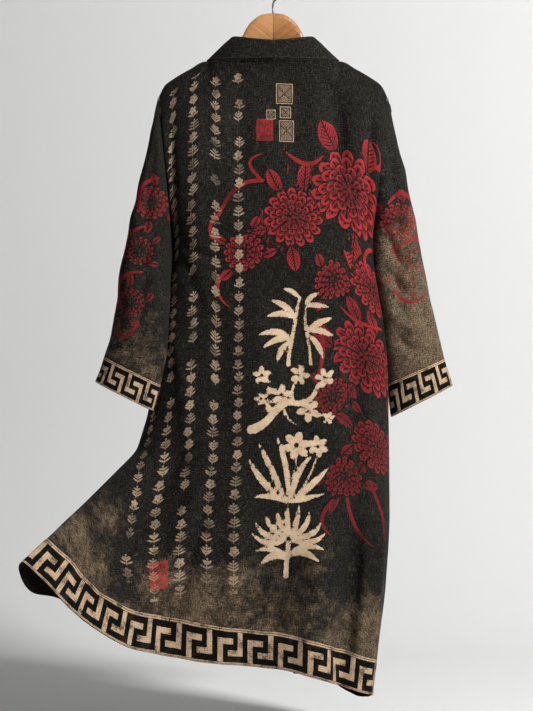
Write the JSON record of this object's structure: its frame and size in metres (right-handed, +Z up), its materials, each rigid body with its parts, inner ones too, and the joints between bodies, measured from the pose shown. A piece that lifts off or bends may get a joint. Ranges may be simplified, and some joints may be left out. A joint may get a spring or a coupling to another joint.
{
  "type": "kimono on a hanger",
  "caption": "Long open-fronted robe of kimono cut with straight sleeves and patterned bands, hung on a contoured wooden hanger, its hem blown to one side.",
  "frame": {"origin": "top of the inside of the hanger's hook, where a rail would hold it", "axes": "+Z up, +X to the right as seen from behind (the wearer's right), the garment's back faces -Y and its open front faces +Y"},
  "size_m": [0.8372, 0.394, 1.4489],
  "materials": {
    "cloth": "matt slubby linen",
    "band": "matt linen with a woven-look key pattern in tan",
    "wood": "satin varnish",
    "wire": "polished"
  },
  "bodies": {
    "root": {"back": "cloth", "front_left": "cloth", "front_right": "cloth", "sleeve_left": "cloth", "sleeve_right": "cloth", "cuff_left": "band", "cuff_right": "band", "hem_back": "band", "hem_front_left": "band", "hem_front_right": "band", "neckband": "cloth", "hanger_wood": "wood", "hanger_hook": "wire"}
  },
  "joints": []
}
